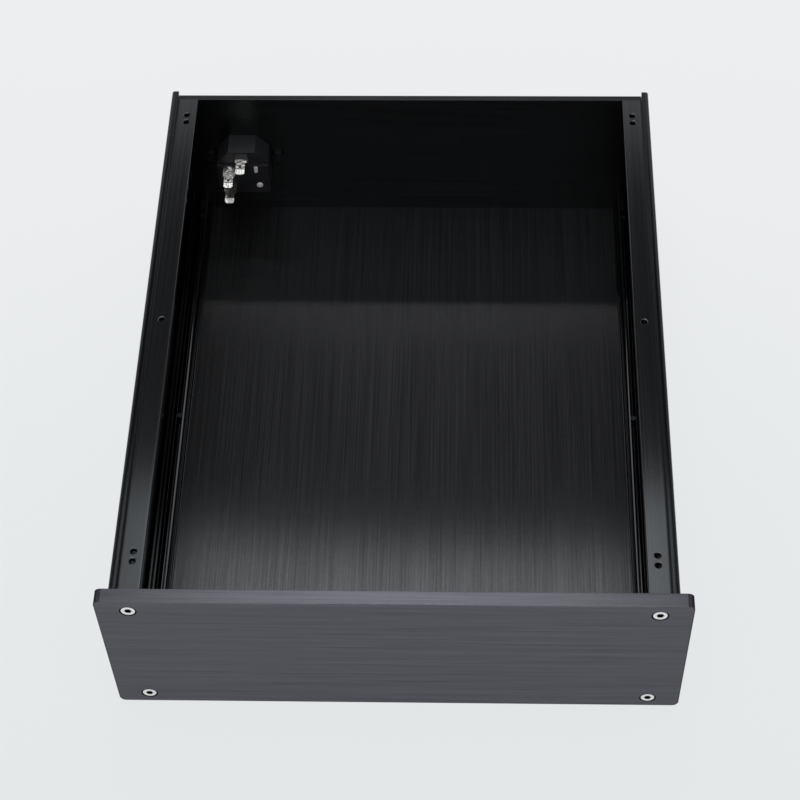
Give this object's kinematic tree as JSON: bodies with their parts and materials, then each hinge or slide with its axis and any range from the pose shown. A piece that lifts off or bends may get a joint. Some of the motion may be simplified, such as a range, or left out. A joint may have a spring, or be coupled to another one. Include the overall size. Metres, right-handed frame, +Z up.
{
  "type": "amplifier chassis",
  "caption": "Open black aluminium amplifier chassis: thick brushed front panel, side rails, bottom plate, rear panel with a fused mains inlet.",
  "frame": {"origin": "middle of the bounding box in plan, on the surface that the chassis stands on", "axes": "+Z up, +Y towards the rear panel, +X to the right as seen from the front"},
  "size_m": [0.26, 0.311, 0.09],
  "materials": {
    "brushed_black_aluminium": "brushed and black anodised",
    "black_aluminium": "satin black anodised",
    "stainless_steel": "turned and bright",
    "black_steel": "black oxide",
    "black_plastic": "moulded, fine satin",
    "tinned_brass": "bright tin plate",
    "nickel_plate": "nickel plated",
    "fuse_glass": "clear"
  },
  "bodies": {
    "chassis": {"bottom_plate": "brushed_black_aluminium", "bottom_plate_screw_1": "black_steel", "bottom_plate_screw_2": "black_steel", "bottom_plate_screw_3": "black_steel", "bottom_plate_screw_4": "black_steel", "bottom_plate_screw_5": "black_steel", "bottom_plate_screw_6": "black_steel", "earth_terminal": "tinned_brass", "front_panel": "brushed_black_aluminium", "front_panel_screw_1": "stainless_steel", "front_panel_screw_2": "stainless_steel", "front_panel_screw_3": "stainless_steel", "front_panel_screw_4": "stainless_steel", "fuse_link": "tinned_brass", "fuse_terminal": "tinned_brass", "inlet_housing": "black_plastic", "inlet_nut_1": "black_steel", "inlet_nut_2": "black_steel", "inlet_screw_1": "black_steel", "inlet_screw_2": "black_steel", "left_side_rail": "black_aluminium", "line_pin": "tinned_brass", "neutral_terminal": "tinned_brass", "rear_panel": "brushed_black_aluminium", "rear_panel_screw_1": "black_steel", "rear_panel_screw_2": "black_steel", "rear_panel_screw_3": "black_steel", "rear_panel_screw_4": "black_steel", "right_side_rail": "black_aluminium"},
    "fuse_holder": {"fuse_drawer": "black_plastic", "fuse_tube": "fuse_glass", "fuse_cap_left": "nickel_plate", "fuse_cap_right": "nickel_plate"}
  },
  "joints": [
    {"name": "fuse_drawer_slide", "type": "slide", "parent": "chassis", "child": "fuse_holder", "axis": [0, 1, 0], "range_m": [0, 0.013]}
  ]
}
